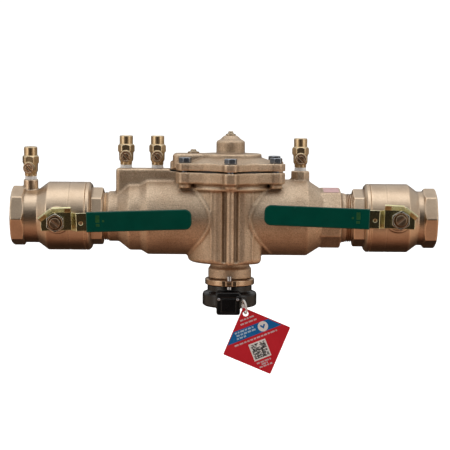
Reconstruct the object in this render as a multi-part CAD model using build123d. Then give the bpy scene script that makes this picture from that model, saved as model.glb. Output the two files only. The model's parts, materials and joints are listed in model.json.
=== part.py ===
"""Reduced-pressure backflow preventer, 2 inch, with quarter-turn shut-off valves.

Frame: the origin is the centre of the inlet port's mouth, +X is the direction of flow along the pipe,
+Z is up, and the operating levers are on the -Y side. All sizes are in millimetres.
"""
import os
from math import cos, radians, sin, sqrt

from build123d import *

# --- Driving dimensions ------------------------------------------------------------------------------

LENGTH = 532.8                # face to face, along the pipe
INLET_STEM_X = 60.2           # stem axis of the inlet shut-off valve
OUTLET_STEM_X = 482.4         # stem axis of the outlet shut-off valve
CHAMBER_X = 274.2             # vertical axis of the relief valve
CHAMBER_R = 53.4
CHAMBER_FRONT_Y = -50.4       # flat panel on the front of the chamber
CHAMBER_BOTTOM_Z = -56.0
SPLIT_Z = 58.0                # top face of the body, under the diaphragm
DIAPHRAGM_T = 2.0
COVER_Z = SPLIT_Z + DIAPHRAGM_T

PIPE_THREAD_R = 29.5          # 2 inch pipe thread on the body's two ends
THREAD_BORE_R = 29.6          # the mating bore in each valve's end cap
PORT_R = 29.2                 # mean radius of the tapped inlet and outlet ports
PORT_DEPTH = 21.0
WATERWAY_R = 25.0             # full port, through the balls and the pipe ends

BALL_R = 36.0
BALL_CAVITY_R = 37.5
VALVE_BARREL_R = 43.0
VALVE_NECK_R = 34.0
SEAT_BORE_R = 25.5
SEAT_OUTER_R = 32.0
SEAT_FACE = 20.0              # ball seats run from here to SEAT_BACK, either side of the stem axis
SEAT_BACK = 27.0
SEAT_POCKET_R = 32.1
FIT_GAP = 0.1                 # radial clearance of a located piece
RUN_GAP = 0.08                # radial clearance of a turning or sliding piece

STEM_R = 7.5
STEM_TIP_R = 6.5
STEM_TIP_Y = -71.0
BOSS_R = 13.0
BOSS_Y = -50.0
PLATE_Y = -56.0               # back face of the lever
LEVER_T = 3.0
LEVER_STEP = 8.0              # how far the arm stands out from the lever's root
LEVER_TILT = 2.0              # degrees, the arm rises towards its free end
ARM_WIDTH = 22.6
BLADE_WIDTH = 18.0            # the arm inside its grip
GRIP_START = 38.0
GRIP_END = 167.0
GRIP_WIDTH = 25.0
GRIP_T = 6.4
HANDLE_NUT_AF = 20.6
HANDLE_NUT_H = 9.0
HANDLE_BORE_R = 8.9           # mouth of the nut's countersunk bore

BOLT_CIRCLE_R = 65.0
BOLT_COUNT = 6
BOLT_R = 4.0
BOLT_HEAD_AF = 14.3
BOLT_HEAD_H = 7.2
LUG_R = 10.5
FLANGE_R = 58.0
FLANGE_BOTTOM_Z = 44.0
COVER_FLANGE_TOP_Z = 69.0
COVER_PLATEAU_Z = 80.0
COVER_CAP_R = 18.0

COCK_BLOCK_TOP_Z = 60.8
COCK_X = (23.0, 142.8, 182.2, 362.2)
COCK_BASE_Z = (46.0, COCK_BLOCK_TOP_Z, COCK_BLOCK_TOP_Z, 58.8)
COCK_TURN = (-8.0, 0.0, 0.0, 0.0)       # degrees about the vertical
COCK_THREAD_R = 6.5
COCK_PLUG_H = 15.0            # height of the plug's axis above the cock's base
COCK_BORE_R = 3.2

CHECK_BORE_R = 38.0           # both check valve bores in the body
CHECK1_SEAT_X = 163.2
CHECK2_SEAT_X = 322.2
CHECK_TRAVEL = 9.0            # stroke of each check valve's poppet
RELIEF_TRAVEL = 8.0           # stroke of the relief valve, from open down to its seat
RELIEF_LIP_Z = -42.5          # top of the relief seat's lip
RELIEF_DISC_Z = RELIEF_LIP_Z + RELIEF_TRAVEL + 0.1

DRAIN_R = 22.0                # spigot of the relief port
DRAIN_BORE_R = 18.0
SENSOR_TOP_Z = -85.5
SENSOR_BOTTOM_Z = -112.5

SENSOR_BOX_X = (257.8, 287.4)
SENSOR_BOX_Y = -44.0
CLAMP_SCREW_Y = -33.0

INLET_VALVE_TURN = 3.3        # degrees each valve is turned on the pipe from an upright position,
OUTLET_VALVE_TURN = -2.0      # positive when its stem dips
BODY_OCTAGON_TURN = -12.0     # degrees, octagon at the outlet end of the body
RISER_X = 155.2               # sensing passage: up from the inlet,
PASSAGE_X = 207.2             # along the cock block and up into the cover
PASSAGE_Y = 10.4
PLUG_X = 227.2
RELIEF_STEM_R = 4.0
COCK_PLUG_R = 4.6

TAG_SIDE = 63.8
TAG_T = 0.8
TAG_HOLE_R = 3.5
TAG_TILT = 22.5               # degrees, anticlockwise as seen from the front
TAG_HOLE_DROP = 8.3           # from the card's top corner down to the hole
TAG_HOLE = Vector(294.2, -46.4, -116.4)
TIE_R = 1.15
TIE_HALF_WIDTH = 5.0
EYE = Vector(291.4, -46.0, -100.0)
EYE_HALF_T = 0.9              # half the thickness of the housing's moulded eye


LOW = (Align.CENTER, Align.CENTER, Align.MIN)


# --- Helpers -----------------------------------------------------------------------------------------

def turned(points, axis=Axis.X):
    """A solid of revolution about the pipe axis, or about Z, from (station, radius) points."""
    start, end = points[0][0], points[-1][0]
    outline = [(start, 0.0)] + list(points) + [(end, 0.0)]
    if axis == Axis.X:
        corners = [(station, 0.0, radius) for station, radius in outline]
    else:
        corners = [(radius, 0.0, station) for station, radius in outline]
    return revolve(make_face(Polyline(*corners, close=True)), axis, 360)


def rod_x(radius, x0, x1, y=0.0, z=0.0):
    """A cylinder along X from x0 to x1."""
    return Pos(x0, y, z) * Rot(0, 90, 0) * Cylinder(radius, x1 - x0, align=LOW)


def rod_y(radius, y0, y1, x=0.0, z=0.0):
    """A cylinder along Y from y0 to y1."""
    return Pos(x, y0, z) * Rot(-90, 0, 0) * Cylinder(radius, y1 - y0, align=LOW)


def rod_z(radius, z0, z1, x=0.0, y=0.0):
    """A cylinder along Z from z0 to z1."""
    return Pos(x, y, z0) * Cylinder(radius, z1 - z0, align=LOW)


def ring_x(outer, inner, x0, x1):
    """A flat ring about the pipe axis."""
    return rod_x(outer, x0, x1) - rod_x(inner, x0 - 1, x1 + 1)


def ring_z(outer, inner, z0, z1, x=0.0, y=0.0):
    """A flat ring about a vertical axis."""
    return rod_z(outer, z0, z1, x, y) - rod_z(inner, z0 - 1, z1 + 1, x, y)


def block(x0, x1, y0, y1, z0, z1):
    """A box between two corners."""
    return Pos(x0, y0, z0) * Box(x1 - x0, y1 - y0, z1 - z0, align=(Align.MIN,) * 3)


def prism_x(sides, corner_r, x0, x1, turn, chamfer_r=0.0):
    """A regular prism along X, its corners trimmed by a cone at both ends."""
    section = Plane.YZ.offset(x0) * Rot(0, 0, turn) * RegularPolygon(corner_r, sides)
    shape = extrude(section, x1 - x0)
    if chamfer_r:
        drop = corner_r - chamfer_r
        rise = drop * 0.55
        trim = turned([(x0, chamfer_r), (x0 + rise, corner_r), (x1 - rise, corner_r), (x1, chamfer_r)])
        shape = shape & trim
    return shape


def hexagon_z(across_flats, z0, z1, x=0.0, y=0.0, turn=0.0):
    """A hexagonal prism along Z."""
    corner_r = across_flats / sqrt(3)
    section = Pos(x, y, z0) * Rot(0, 0, turn) * RegularPolygon(corner_r, 6)
    return extrude(section, z1 - z0)


def hexagon_y(across_flats, y0, y1, x=0.0, z=0.0, turn=0.0):
    """A hexagonal prism along -Y, from y0 down to y1."""
    corner_r = across_flats / sqrt(3)
    section = Plane.XZ * Pos(x, z, -y0) * Rot(0, 0, turn) * RegularPolygon(corner_r, 6)
    return extrude(section, y0 - y1)


def coil(radius, wire_r, length, turns):
    """A compression spring about Z, standing on z = 0, with plain round wire."""
    path = Helix(length / turns, length, radius)
    start = path @ 0
    section = Plane(origin=start, z_dir=path % 0) * Circle(wire_r)
    return sweep(section, path=path, is_frenet=True)


# --- Shut-off valves, modelled about their stem axis with +X towards the centre of the assembly ------------

def threaded_end(length, neck_end):
    """The tapped octagonal end and the neck behind it, from the port's mouth inwards."""
    mouth = -length
    octagon = prism_x(8, 37.9, mouth, mouth + 16.2, 0.0, 35.0)
    neck = rod_x(VALVE_NECK_R, mouth + 12.0, neck_end)
    return octagon + neck


def valve_body(length, cock_x=None, cock_z=0.0):
    """Cast body of a ball valve, with its stem boss on the -Y side."""
    barrel = turned([(-27.0, VALVE_NECK_R - 1), (-26.5, VALVE_NECK_R), (-14.5, VALVE_BARREL_R),
                     (12.2, VALVE_BARREL_R), (13.0, VALVE_BARREL_R - 0.7), (13.8, VALVE_BARREL_R),
                     (33.0, VALVE_BARREL_R)])
    shape = threaded_end(length, -26.0) + barrel
    shape += rod_y(BOSS_R, BOSS_Y, -30.0)
    shape += rod_y(BOSS_R + 3.0, BOSS_Y + 5.5, -30.0)
    if cock_x is not None:
        shape += rod_z(9.2, 20.0, cock_z, cock_x)
    shape -= turned([(-length - 1, PORT_R), (PORT_DEPTH - length, PORT_R), (PORT_DEPTH - length, WATERWAY_R),
                     (-SEAT_BACK, WATERWAY_R), (-SEAT_BACK, SEAT_POCKET_R), (-16.8, SEAT_POCKET_R),
                     (-16.8, BALL_CAVITY_R), (34.0, BALL_CAVITY_R)])
    shape -= rod_y(STEM_R + RUN_GAP, BOSS_Y - 1, -30.0)
    shape -= rod_y(10.2, -38.2, -30.0)
    shape -= rod_y(10.5 + FIT_GAP, BOSS_Y - 1, -44.0)
    if cock_x is not None:
        shape -= rod_z(COCK_THREAD_R + FIT_GAP, cock_z - 9.0, cock_z + 1, cock_x)
        shape -= rod_z(COCK_BORE_R, 10.0, cock_z, cock_x)
    return shape


def valve_end_cap():
    """End cap that closes the ball cavity and takes the pipe thread of the main body."""
    shape = turned([(33.0, VALVE_BARREL_R), (37.0, VALVE_BARREL_R), (40.0, 40.0), (41.0, 32.0)])
    shape += prism_x(8, 36.6, 39.0, 54.5, 0.0, 34.2)
    shape += rod_x(BALL_CAVITY_R - FIT_GAP, 22.0, 33.5)
    shape -= turned([(21.0, SEAT_POCKET_R), (SEAT_BACK, SEAT_POCKET_R), (SEAT_BACK, WATERWAY_R),
                     (36.0, WATERWAY_R), (36.0, THREAD_BORE_R), (56.0, THREAD_BORE_R)])
    return shape


def ball():
    """Full-port ball, with a flat and a slot on top for the stem's tongue."""
    shape = Sphere(BALL_R)
    shape -= rod_x(WATERWAY_R, -BALL_R - 1, BALL_R + 1)
    shape -= block(-10, 10, -BALL_R - 1, -35.0, -10, 10)
    shape -= block(-12, 12, -36.0, -29.0, -3.9, 3.9)
    return shape


def ball_seats():
    """The two PTFE seats, hollowed to the ball's radius."""
    hollow_r = BALL_R + FIT_GAP

    def on_ball(radius):
        return (sqrt(hollow_r ** 2 - radius ** 2), 0.0, radius)

    rim_r = sqrt(hollow_r ** 2 - SEAT_FACE ** 2)
    flats = Polyline(on_ball(SEAT_BORE_R), (SEAT_BACK, 0, SEAT_BORE_R), (SEAT_BACK, 0, SEAT_OUTER_R),
                     (SEAT_FACE, 0, SEAT_OUTER_R), on_ball(rim_r))
    dish = ThreePointArc(on_ball(rim_r), on_ball((rim_r + SEAT_BORE_R) / 2), on_ball(SEAT_BORE_R))
    seat = revolve(make_face([*flats.edges(), *dish.edges()]), Axis.X, 360)
    return seat + mirror(seat, about=Plane.YZ)


def stem():
    """Stem with its tongue in the ball, its shoulder inside the body and a slotted outer tip."""
    shape = rod_y(STEM_R, -55.8, -36.0)
    shape += rod_y(STEM_TIP_R, STEM_TIP_Y, -55.0)
    shape += rod_y(9.6, -37.9, -35.6)
    shape += block(-8, 8, -36.5, -29.8, -3.7, 3.7)
    shape -= Rot(0, 38, 0) * block(-8, 8, STEM_TIP_Y - 1, STEM_TIP_Y + 1.6, -0.8, 0.8)
    return shape


def stem_packing():
    """PTFE packing ring in the boss."""
    return rod_y(10.5, -49.4, -44.0) - rod_y(STEM_R + RUN_GAP, -60, -40)


def packing_nut():
    """Hexagonal gland nut over the packing."""
    shape = hexagon_y(21.0, BOSS_Y, -55.4, turn=30)
    shape += rod_y(9.9, BOSS_Y - 0.5, -49.4)
    return shape - rod_y(STEM_R + RUN_GAP, -60, -40)


def lever_outline():
    """Root of the lever: square towards the arm, with one clipped upper corner."""
    return make_face(Polyline((-18.5, 0, -10.8), (-18.5, 0, 1.5), (-3.5, 0, 12.5), (19.5, 0, 12.5),
                              (21.5, 0, 11.3), (21.5, 0, -10.8), close=True))


def lip(length, rise, angle):
    """A strip folded forwards along the lever's edge, standing on the X axis."""
    strip = block(-length / 2, length / 2, 0, LEVER_T, 0, rise)
    return Rot(angle, 0, 0) * strip


def handle_lever():
    """Pressed steel lever: root plate, folded lips, joggle and arm, with its square hole."""
    front_y = PLATE_Y - LEVER_T
    shape = Pos(0, PLATE_Y, 0) * extrude(lever_outline(), LEVER_T, dir=(0, -1, 0))
    shape += Pos(7.6, front_y, 12.0) * lip(23.8, 6.5, 38)
    corner_length = sqrt(15.0 ** 2 + 11.0 ** 2)
    corner_turn = Rot(0, -36.3, 0)
    shape += Pos(-10.7, front_y, 6.6) * corner_turn * lip(corner_length + 1.0, 5.8, 38)
    half = ARM_WIDTH / 2
    joggle = make_face(Polyline((19.5, PLATE_Y, 0), (21.0, PLATE_Y, 0), (27.5, PLATE_Y - LEVER_STEP, 0),
                                (60.0, PLATE_Y - LEVER_STEP, 0),
                                (60.0, PLATE_Y - LEVER_STEP - LEVER_T, 0),
                                (26.0, PLATE_Y - LEVER_STEP - LEVER_T, 0), (19.5, front_y, 0), close=True))
    arm = Pos(0, 0, -half) * extrude(joggle, ARM_WIDTH, dir=(0, 0, 1))
    blade = block(59.0, GRIP_END - 8.0, PLATE_Y - LEVER_STEP - LEVER_T, PLATE_Y - LEVER_STEP,
                  -BLADE_WIDTH / 2, BLADE_WIDTH / 2)
    shape += arm + blade
    shape -= rod_y(2.0, -80, -50, 31.5, -1.5)
    shape -= rod_y(STEM_TIP_R + RUN_GAP, -80, -50)
    return Rot(0, -LEVER_TILT, 0) * shape


def handle_grip():
    """Dipped vinyl sleeve over the lever's arm, with a rounded free end."""
    front_y = PLATE_Y - LEVER_STEP - LEVER_T / 2 - GRIP_T / 2
    back_y = front_y + GRIP_T
    shape = block(GRIP_START, GRIP_END, front_y, back_y, -GRIP_WIDTH / 2, GRIP_WIDTH / 2)
    shape = fillet(shape.edges().filter_by(Axis.Y).group_by(Axis.X)[-1], GRIP_WIDTH * 0.34)
    shape = fillet(shape.edges().group_by(Axis.Y)[0] + shape.edges().group_by(Axis.Y)[-1], 1.4)
    steel_back_y = PLATE_Y - LEVER_STEP
    steel_front_y = steel_back_y - LEVER_T
    shape -= block(GRIP_START - 1, 60.0, steel_front_y, steel_back_y, -ARM_WIDTH / 2, ARM_WIDTH / 2)
    shape -= block(59.0, GRIP_END - 8.0, steel_front_y, steel_back_y, -BLADE_WIDTH / 2, BLADE_WIDTH / 2)
    return Rot(0, -LEVER_TILT, 0) * shape


def handle_nut():
    """Hexagonal nut that holds the lever on the stem."""
    front_y = PLATE_Y - LEVER_T
    shape = hexagon_y(HANDLE_NUT_AF, front_y, front_y - HANDLE_NUT_H, turn=30)
    dome = Plane.XZ.offset(-front_y) * Circle(HANDLE_NUT_AF / 2 * 1.02)
    shape &= extrude(dome, HANDLE_NUT_H, taper=-6) + rod_y(20, front_y - HANDLE_NUT_H + 2.0, front_y)
    bevel = Pos(0, front_y - HANDLE_NUT_H, 0) * Rot(-90, 0, 0) * Cone(HANDLE_BORE_R, STEM_TIP_R, 3.0, align=LOW)
    return shape - bevel - rod_y(STEM_TIP_R + RUN_GAP, -80, -50)


# --- Main body -----------------------------------------------------------------------------------------

def flange_outline(z):
    """Outline of the bolted joint: a lug with flared flanks at each bolt."""
    corners = []
    for k in range(BOLT_COUNT):
        turn = radians(360 / BOLT_COUNT * k - 90)
        lug = ((52.5, -24.0), (66.0, -9.8), (73.5, -7.6), (75.5, -5.2),
               (75.5, 5.2), (73.5, 7.6), (66.0, 9.8), (52.5, 24.0))
        for out, side in lug:
            corners.append((CHAMBER_X + out * cos(turn) - side * sin(turn),
                            out * sin(turn) + side * cos(turn), z))
    return make_face(Polyline(*corners, close=True))


def flange_plate(z0, z1):
    """The flange outline given a thickness."""
    return extrude(flange_outline(z0), z1 - z0, dir=(0, 0, 1))


def bolt_places():
    """X and Y of each cover bolt."""
    places = []
    for k in range(BOLT_COUNT):
        turn = radians(360 / BOLT_COUNT * k - 90)
        places.append((CHAMBER_X + BOLT_CIRCLE_R * cos(turn), BOLT_CIRCLE_R * sin(turn)))
    return places


def body_pipe():
    """Everything turned about the pipe axis, with its threaded ends."""
    return turned([(96.7, PIPE_THREAD_R - 0.8), (98.2, PIPE_THREAD_R), (121.6, PIPE_THREAD_R),
                   (121.6, 31.6), (134.0, 31.6), (148.2, 42.6), (162.2, 42.6), (170.7, 47.8),
                   (370.2, 48.0), (387.2, 37.0), (388.2, 34.0), (412.2, 34.0), (413.7, 31.0),
                   (418.2, 31.0), (418.2, PIPE_THREAD_R), (444.7, PIPE_THREAD_R), (446.2, PIPE_THREAD_R - 0.8)])


def body_chamber():
    """Vertical relief chamber: a drum, flattened downstream below the pipe axis, with rounded lower edges."""
    drum = rod_z(CHAMBER_R, CHAMBER_BOTTOM_Z, -6.0, CHAMBER_X)
    drum &= block(CHAMBER_X - 80, CHAMBER_X + 38.8, -80, 80, CHAMBER_BOTTOM_Z, -6.0)
    drum = fillet(drum.edges().filter_by(Axis.Z), 7.0)
    drum = fillet(drum.edges().group_by(Axis.Z)[0], 6.0)
    upper = rod_z(CHAMBER_R, -6.5, 45.0, CHAMBER_X)
    drum = (drum + upper) & block(CHAMBER_X - 80, CHAMBER_X + 80, CHAMBER_FRONT_Y, 80, CHAMBER_BOTTOM_Z - 1, 46.0)
    flare = turned([(37.0, CHAMBER_R - 3.5), (FLANGE_BOTTOM_Z, FLANGE_R - 1.0), (45.0, FLANGE_R - 1.0)], Axis.Z)
    return drum + Pos(CHAMBER_X, 0, 0) * flare


def body_rib():
    """Half-round column down the front of the chamber, between two shallow grooves."""
    column = rod_z(5.2, CHAMBER_BOTTOM_Z + 4.0, 45.0, CHAMBER_X, CHAMBER_FRONT_Y)
    foot = Pos(CHAMBER_X, CHAMBER_FRONT_Y, CHAMBER_BOTTOM_Z + 4.0) * Sphere(5.2)
    return column + foot


def body_grooves():
    """The two grooves beside the front column."""
    cut = None
    for side in (-1, 1):
        groove = rod_z(2.6, CHAMBER_BOTTOM_Z + 5.0, 36.0, CHAMBER_X + side * 7.6, CHAMBER_FRONT_Y)
        end = Pos(CHAMBER_X + side * 7.6, CHAMBER_FRONT_Y, CHAMBER_BOTTOM_Z + 5.0) * Sphere(2.6)
        cut = groove + end if cut is None else cut + groove + end
    return cut


def body_cock_block():
    """Raised block over the inlet side that carries two test cocks and the sensing passage."""
    shape = block(130.6, 213.2, -15.0, 15.0, 10.0, COCK_BLOCK_TOP_Z)
    shape = fillet(shape.edges().filter_by(Axis.Z), 5.0)
    shape = fillet(shape.edges().group_by(Axis.Z)[-1], 2.2)
    return shape - block(198.0, 225.2, -20, 20, SPLIT_Z, 70.0)


def body_flange():
    """Top flange, with a deeper boss under each bolt."""
    shape = flange_plate(FLANGE_BOTTOM_Z, SPLIT_Z)
    for x, y in bolt_places():
        shape += rod_z(LUG_R - 3.0, 38.0, FLANGE_BOTTOM_Z + 1.0, x, y)
    return shape


def body_drain():
    """Relief port: neck, machined collar and the spigot that the sensor fits over."""
    return Pos(CHAMBER_X, 0, 0) * turned([(-95.0, DRAIN_R - 0.8), (-94.2, DRAIN_R), (-77.0, DRAIN_R), (-77.0, 26.6),
                                         (-76.3, 27.3), (-65.0, 27.3), (-63.0, 25.6), (-61.5, 24.6),
                                         (-50.0, 24.6)], Axis.Z)


def body_bores():
    """Everything that is cut out of the casting."""
    cut = turned([(95.2, WATERWAY_R), (150.2, WATERWAY_R), (161.2, 33.0), (CHECK1_SEAT_X, 33.0),
                  (CHECK1_SEAT_X, CHECK_BORE_R), (371.2, CHECK_BORE_R), (377.2, 33.0), (385.2, WATERWAY_R),
                  (447.2, WATERWAY_R)])
    lower = rod_z(44.0, -48.0, 5.0, CHAMBER_X) & block(CHAMBER_X - 50, CHAMBER_X + 32.8, -50, 50, -48.0, 5.0)
    cut += lower + rod_z(44.0, 0.0, SPLIT_Z + 1, CHAMBER_X)
    cut += rod_z(20.0, -60.0, -47.0, CHAMBER_X) + rod_z(DRAIN_BORE_R, -96.0, -59.0, CHAMBER_X)
    for x, y in bolt_places():
        cut += rod_z(BOLT_R + FIT_GAP, 40.0, SPLIT_Z + 1, x, y)
    return cut


def body_passages():
    """Test cock ports and the drilled sensing passage that feeds the top of the diaphragm."""
    cut = None
    for x, base in zip(COCK_X[1:], COCK_BASE_Z[1:]):
        tapped = rod_z(COCK_THREAD_R + FIT_GAP, base - 9.0, base + 1, x)
        drilled = rod_z(COCK_BORE_R, 15.0, base, x)
        cut = tapped + drilled if cut is None else cut + tapped + drilled
    cut += rod_z(2.5, 20.0, 54.0, RISER_X, PASSAGE_Y)
    cut += rod_x(2.2, RISER_X, PASSAGE_X, PASSAGE_Y, 51.5)
    cut += rod_z(2.5, 51.5, SPLIT_Z + 1, PASSAGE_X, PASSAGE_Y)
    return cut


def main_body():
    """The bronze casting that holds both check valves and the relief valve."""
    shape = body_pipe() + body_chamber()
    shape -= body_grooves()
    shape += body_rib()
    shape += prism_x(8, 38.5, 387.2, 412.7, BODY_OCTAGON_TURN, 36.4)
    shape += body_cock_block() + body_flange() + body_drain()
    shape += extrude(Pos(COCK_X[3], 0, 30) * Rot(0, 0, 22.5) * RegularPolygon(12.3, 8), COCK_BASE_Z[3] - 30)
    return shape - body_bores() - body_passages()


# --- Relief cover and diaphragm ------------------------------------------------------------------------

def relief_cover():
    """Domed cover with a raised passage block upstream and a cap over the stem."""
    slope = turned([(61.0, 57.0), (69.5, 57.0), (75.0, 40.5), (75.0, 39.0), (79.0, 39.0), (COVER_PLATEAU_Z, 38.0)],
                   Axis.Z)
    cap = turned([(70.0, COVER_CAP_R), (94.6, COVER_CAP_R), (96.4, COVER_CAP_R - 1.6), (98.0, 13.0),
                  (101.6, 9.5), (103.0, 6.8)], Axis.Z)
    ridge = block(201.8, CHAMBER_X, -21.0, 21.0, 62.0, COVER_PLATEAU_Z)
    ridge = fillet(ridge.edges().filter_by(Axis.Z).sort_by(Axis.X)[:2], 9.0)
    ridge = fillet(ridge.edges().group_by(Axis.Z)[-1], 3.4)
    foot = block(198.5, CHAMBER_X, -15.0, 15.0, COVER_Z, COVER_FLANGE_TOP_Z + 1.0)
    foot = fillet(foot.edges().filter_by(Axis.Z).sort_by(Axis.X)[:2], 5.0)
    shape = flange_plate(COVER_Z, COVER_FLANGE_TOP_Z) + Pos(CHAMBER_X, 0, 0) * slope + ridge + foot
    shape += Pos(CHAMBER_X, 0, 0) * cap
    shape -= rod_z(38.0, COVER_Z - 1, 70.0, CHAMBER_X)
    shape -= rod_z(14.0, 69.0, 91.0, CHAMBER_X)
    shape -= rod_z(3.0, 90.0, 105.0, CHAMBER_X)
    shape -= rod_z(2.5, COVER_Z - 1, 68.0, PASSAGE_X, PASSAGE_Y)
    shape -= rod_x(2.2, PASSAGE_X, 241.2, PASSAGE_Y, 66.0)
    shape -= rod_z(5.0 + FIT_GAP, 71.0, 82.0, PLUG_X, PASSAGE_Y) + rod_z(2.0, 66.0, 72.0, PLUG_X, PASSAGE_Y)
    for x, y in bolt_places():
        shape -= rod_z(BOLT_R + 0.3, COVER_Z - 1, 90.0, x, y)
        shape -= rod_z(BOLT_HEAD_AF * 0.68, COVER_FLANGE_TOP_Z, 90.0, x, y)
    return shape


def relief_diaphragm():
    """Rubber diaphragm with one rolled convolution, and the tab that seals the sensing passage."""
    sheet = rod_z(FLANGE_R - 0.6, SPLIT_Z, COVER_Z, CHAMBER_X)
    tab = block(199.0, CHAMBER_X, -14.4, 14.4, SPLIT_Z, COVER_Z)
    fold = Pos(CHAMBER_X, 0, SPLIT_Z - 1.2) * Torus(34.0, 3.4)
    fold -= block(0, LENGTH, -90, 90, 40.0, SPLIT_Z)
    hollow = Pos(CHAMBER_X, 0, SPLIT_Z - 1.2) * Torus(34.0, 1.9)
    shape = sheet + tab + fold
    shape -= hollow
    shape -= rod_z(RELIEF_STEM_R + FIT_GAP, 50.0, 70.0, CHAMBER_X)
    shape -= rod_z(2.5, 50.0, 70.0, PASSAGE_X, PASSAGE_Y)
    return shape


def cover_bolts():
    """Six hexagon bolts, each with a washer face under its head."""
    bolts = []
    for x, y in bolt_places():
        head = hexagon_z(BOLT_HEAD_AF, COVER_FLANGE_TOP_Z + 0.8, COVER_FLANGE_TOP_Z + BOLT_HEAD_H, x, y, 15.0)
        top = COVER_FLANGE_TOP_Z + BOLT_HEAD_H
        crown = Pos(x, y, 0) * turned([(60.0, 8.6), (top - 1.3, 8.6), (top, BOLT_HEAD_AF / 2)], Axis.Z)
        bolt = (head & crown) + rod_z(7.0, COVER_FLANGE_TOP_Z, COVER_FLANGE_TOP_Z + 1.0, x, y)
        bolts.append(bolt + rod_z(BOLT_R, 41.0, COVER_FLANGE_TOP_Z + 1.0, x, y))
    return Compound(children=bolts)


def cover_vent_screw():
    """Small vent screw on top of the cap."""
    shape = turned([(93.0, 3.0 - FIT_GAP), (103.0, 3.0 - FIT_GAP), (103.0, 6.3), (104.6, 6.3), (105.2, 3.6),
                    (107.6, 3.1), (108.2, 2.4)], Axis.Z)
    return Pos(CHAMBER_X, 0, 0) * shape - block(CHAMBER_X - 5, CHAMBER_X + 5, -0.5, 0.5, 106.9, 110)


def sense_passage_plug():
    """Brass plug in the drilled passage on the cover's ridge."""
    shape = turned([(72.0, 5.0), (COVER_PLATEAU_Z, 5.0), (COVER_PLATEAU_Z, 7.4), (81.6, 7.4), (82.4, 4.0),
                    (84.2, 3.6), (84.8, 2.8)], Axis.Z)
    return Pos(PLUG_X, PASSAGE_Y, 0) * shape - block(PLUG_X - 5, PLUG_X + 5, PASSAGE_Y - 0.5, PASSAGE_Y + 0.5, 83.6, 86)


# --- Relief valve --------------------------------------------------------------------------------------

def relief_seat():
    """Flanged seat ring over the relief port, with a raised lip."""
    shape = turned([(-60.0, 19.9), (-48.0, 19.9), (-48.0, 27.0), (-44.5, 27.0), (-44.0, 26.0), (-44.0, 17.0),
                    (RELIEF_LIP_Z, 16.2)], Axis.Z)
    return Pos(CHAMBER_X, 0, 0) * shape - rod_z(14.0, -61.0, -40.0, CHAMBER_X)


def relief_stem_guide():
    """Basket that hangs from the body's rim and guides the relief stem in its hub."""
    shape = ring_z(43.9, 38.0, 53.0, SPLIT_Z, CHAMBER_X)
    for k in range(3):
        turn = 120.0 * k + 90.0
        leg = block(38.2, 43.4, -4.0, 4.0, 18.0, 54.0)
        arm = block(4.6, 43.0, -3.0, 3.0, 18.0, 23.0)
        shape += Pos(CHAMBER_X, 0, 0) * Rot(0, 0, turn) * (leg + arm)
    shape += rod_z(8.0, 14.0, 24.0, CHAMBER_X)
    return shape - rod_z(RELIEF_STEM_R + RUN_GAP, 0.0, 40.0, CHAMBER_X)


def relief_stem():
    """Stem from the disc holder up to the diaphragm, with a shoulder under the plates."""
    base = RELIEF_DISC_Z
    shape = turned([(base + 0.4, 16.0), (base + 4.4, 16.0), (base + 4.4, 18.6), (base + 4.8, 19.0),
                    (base + 8.4, 19.0), (base + 10.4, 12.0), (base + 12.4, 6.0), (base + 16.4, RELIEF_STEM_R),
                    (72.0, RELIEF_STEM_R), (73.0, RELIEF_STEM_R - 1.0)], Axis.Z)
    return Pos(CHAMBER_X, 0, 0) * shape


def relief_disc():
    """Rubber disc under the holder, which closes on the seat's lip."""
    shape = rod_z(18.6, RELIEF_DISC_Z, RELIEF_DISC_Z + 4.35) - rod_z(16.05, RELIEF_DISC_Z + 0.35, 0)
    return Pos(CHAMBER_X, 0, 0) * shape


def diaphragm_plates():
    """The two plates that clamp the diaphragm's middle."""
    lower = turned([(55.4, 27.0), (56.4, 29.0), (SPLIT_Z, 29.0)], Axis.Z)
    upper = turned([(COVER_Z, 29.0), (61.6, 29.0), (62.4, 27.5)], Axis.Z)
    pair = Pos(CHAMBER_X, 0, 0) * Compound(children=[lower, upper])
    bore = rod_z(RELIEF_STEM_R + 0.05, 40.0, 80.0, CHAMBER_X)
    return Compound(children=[solid - bore for solid in pair.solids()])


def diaphragm_nut():
    """Nut that holds the diaphragm plates on the stem."""
    return hexagon_z(13.0, 62.4, 68.6, CHAMBER_X) - rod_z(RELIEF_STEM_R + 0.05, 60.0, 72.0, CHAMBER_X)


# --- Check valves, modelled with the seat's face at the origin and flow along +X ------------------------------

def check_seat():
    """Seat ring with a groove for its O-ring and a raised lip downstream."""
    shape = turned([(0.0, 37.9), (2.9, 37.9), (2.9, 34.6), (6.5, 34.6), (6.5, 37.9), (9.5, 37.9), (9.5, 30.5),
                    (11.0, 28.8)])
    return shape - turned([(-1.0, 27.5), (2.0, 26.0), (12.0, 26.0)])


def check_cage(hub_x):
    """Three-legged cage that carries the stem's guide hub."""
    shape = ring_x(37.9, 34.6, 9.5, 13.0)
    for k in range(3):
        leg = block(12.0, hub_x + 5.0, -4.5, 4.5, 34.8, 37.2)
        arm = block(hub_x, hub_x + 5.0, -3.0, 3.0, 6.0, 37.0)
        shape += Rot(120.0 * k + 30.0, 0, 0) * (leg + arm)
    shape += rod_x(8.5, hub_x - 2.0, hub_x + 7.0)
    return shape - rod_x(5.0 + RUN_GAP, 0, hub_x + 20)


def check_poppet(hub_x):
    """Disc holder and stem."""
    return turned([(13.2, 25.0), (15.2, 25.0), (15.2, 32.0), (17.4, 32.0), (19.5, 24.0), (21.0, 12.0), (22.5, 5.0),
                   (hub_x + 6.0 + CHECK_TRAVEL, 5.0), (hub_x + 7.0 + CHECK_TRAVEL, 4.0)])


def check_disc():
    """Rubber sealing disc, on the upstream face of the holder."""
    return rod_x(31.5, 11.05, 15.15) - rod_x(25.05, 13.15, 16.0)


# --- Springs -------------------------------------------------------------------------------------------

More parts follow.
